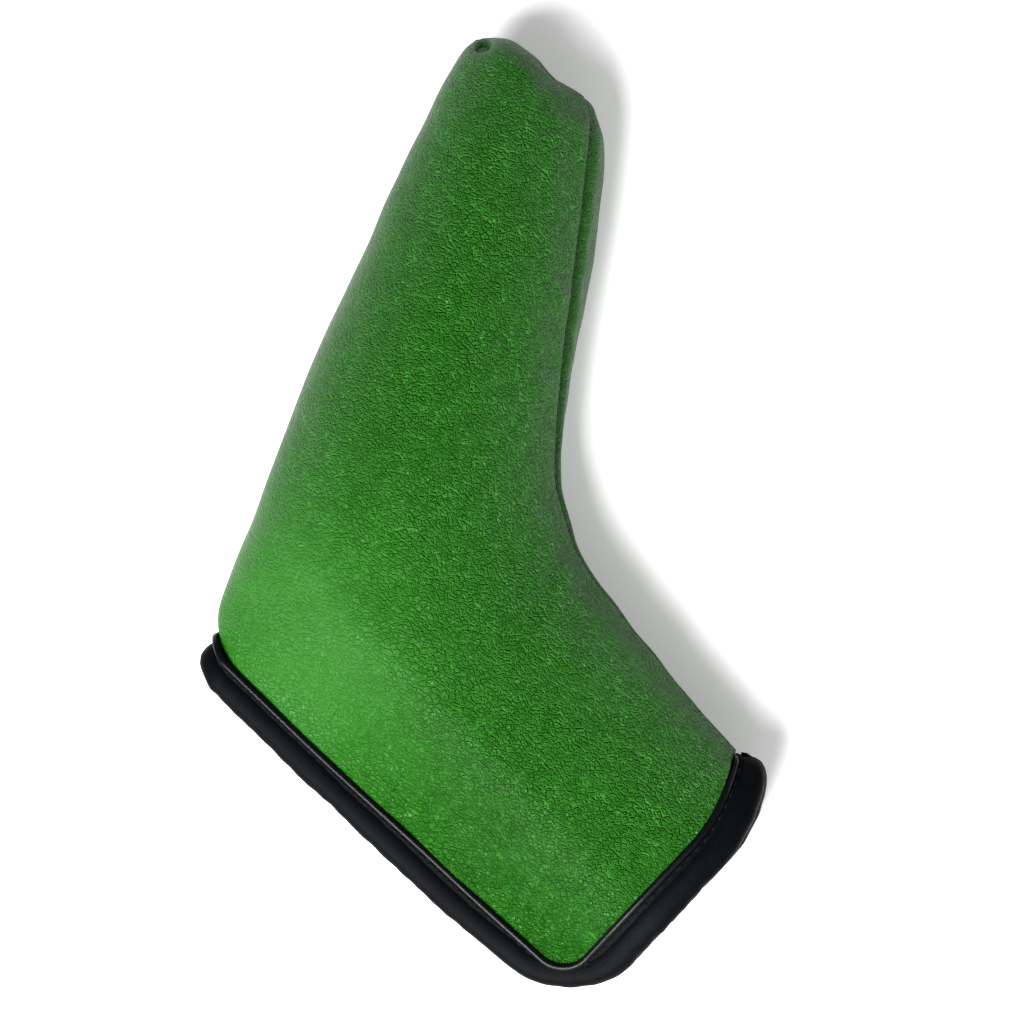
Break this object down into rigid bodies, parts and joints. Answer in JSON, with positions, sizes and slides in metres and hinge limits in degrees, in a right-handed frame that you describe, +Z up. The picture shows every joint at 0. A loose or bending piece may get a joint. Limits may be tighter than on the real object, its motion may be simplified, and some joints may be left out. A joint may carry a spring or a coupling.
{
  "type": "putter head cover",
  "caption": "Padded blade putter head cover in pebbled green leather, dog-leg shaped, with a black bound mouth whose two lips open for the head and shaft.",
  "frame": {"origin": "under the middle of the cover's bounding box, on the surface it lies on", "axes": "lying on its back panel; +X from the toe to the heel along the sole, +Y from the sole to the shaft exit, +Z up through the front panel"},
  "size_m": [0.1726, 0.1206, 0.0336],
  "materials": {
    "green_leather": "pebble-grained, satin",
    "foam": "open-cell foam",
    "plush": "short-pile plush",
    "black_trim": "smooth, semi-gloss",
    "black_thread": "bonded polyester thread",
    "green_thread": "bonded polyester thread",
    "pouch_cloth": "plain woven",
    "magnet": "nickel-plated"
  },
  "bodies": {
    "root": {"outer_leather": "green_leather", "seam_thread": "green_thread", "foam_padding": "foam", "plush_lining": "plush", "heel_corner_binding": "black_trim", "heel_corner_piping": "black_trim", "heel_corner_stitching": "black_thread", "exit_corner_binding": "black_trim", "exit_corner_piping": "black_trim", "exit_corner_stitching": "black_thread"},
    "front_lip": {"front_lip_leather": "green_leather", "front_lip_foam": "foam", "front_lip_lining": "plush", "front_lip_binding": "black_trim", "front_lip_piping": "black_trim", "front_lip_stitching": "black_thread", "front_magnet_pouch": "pouch_cloth", "front_closing_magnets": "magnet"},
    "back_lip": {"back_lip_leather": "green_leather", "back_lip_foam": "foam", "back_lip_lining": "plush", "back_lip_binding": "black_trim", "back_lip_piping": "black_trim", "back_lip_stitching": "black_thread", "back_magnet_pouch": "pouch_cloth", "back_closing_magnets": "magnet"}
  },
  "joints": [
    {"name": "front_lip_open", "type": "hinge", "parent": "root", "child": "front_lip", "pos_m": [0.046, 0.0033, 0.0284], "axis": [0.2037, -0.979, 0], "range_deg": [0, 40], "stiffness_Nm_per_rad": 0.2},
    {"name": "back_lip_open", "type": "hinge", "parent": "root", "child": "back_lip", "pos_m": [0.046, 0.0033, 0.0014], "axis": [-0.2037, 0.979, 0], "range_deg": [0, 40], "stiffness_Nm_per_rad": 0.2}
  ]
}
